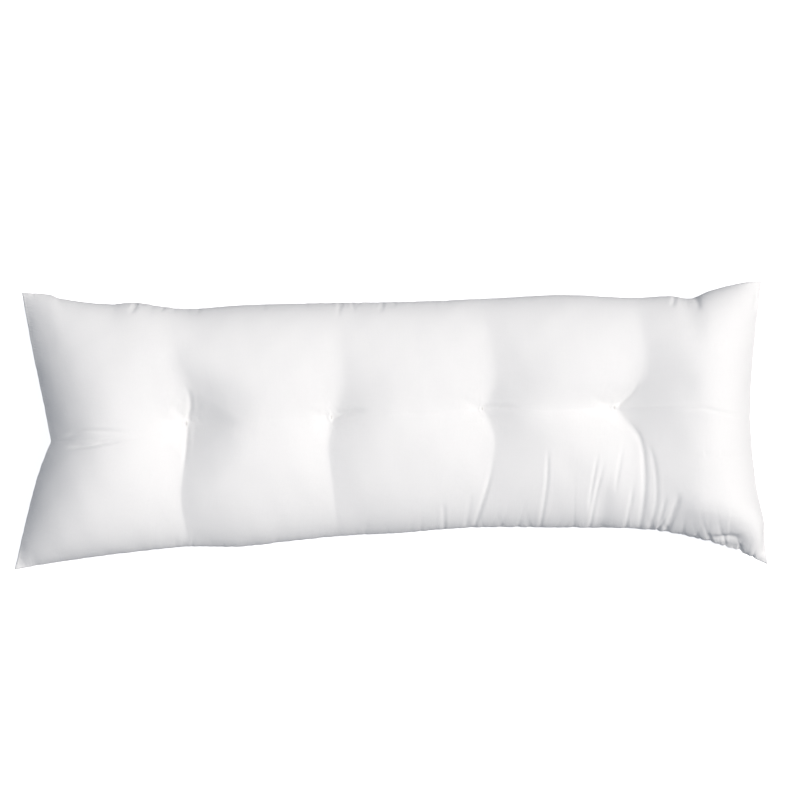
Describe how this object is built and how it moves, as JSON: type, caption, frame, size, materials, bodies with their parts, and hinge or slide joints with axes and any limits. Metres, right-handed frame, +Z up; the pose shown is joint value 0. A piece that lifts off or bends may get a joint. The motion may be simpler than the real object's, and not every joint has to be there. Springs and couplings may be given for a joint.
{
  "type": "body pillow",
  "caption": "Long filled pillow with a sewn edge all round, drawn-in ends, pointed corners and through-stitched tufts that part it into swells.",
  "frame": {"origin": "middle of the bounding box's base, on the surface that the pillow lies on", "axes": "+X along the pillow's length, +Y across it, +Z up out of its upper face"},
  "size_m": [1.308, 0.502, 0.1551],
  "materials": {
    "cover_cotton": "matte",
    "tie_thread": "matte"
  },
  "bodies": {
    "root": {"filled_cover": "cover_cotton", "tie_stitch_upper_1": "tie_thread", "tie_stitch_upper_2": "tie_thread", "tie_stitch_upper_3": "tie_thread", "tie_stitch_upper_4": "tie_thread", "tie_stitch_lower_1": "tie_thread", "tie_stitch_lower_2": "tie_thread", "tie_stitch_lower_3": "tie_thread", "tie_stitch_lower_4": "tie_thread"}
  },
  "joints": []
}
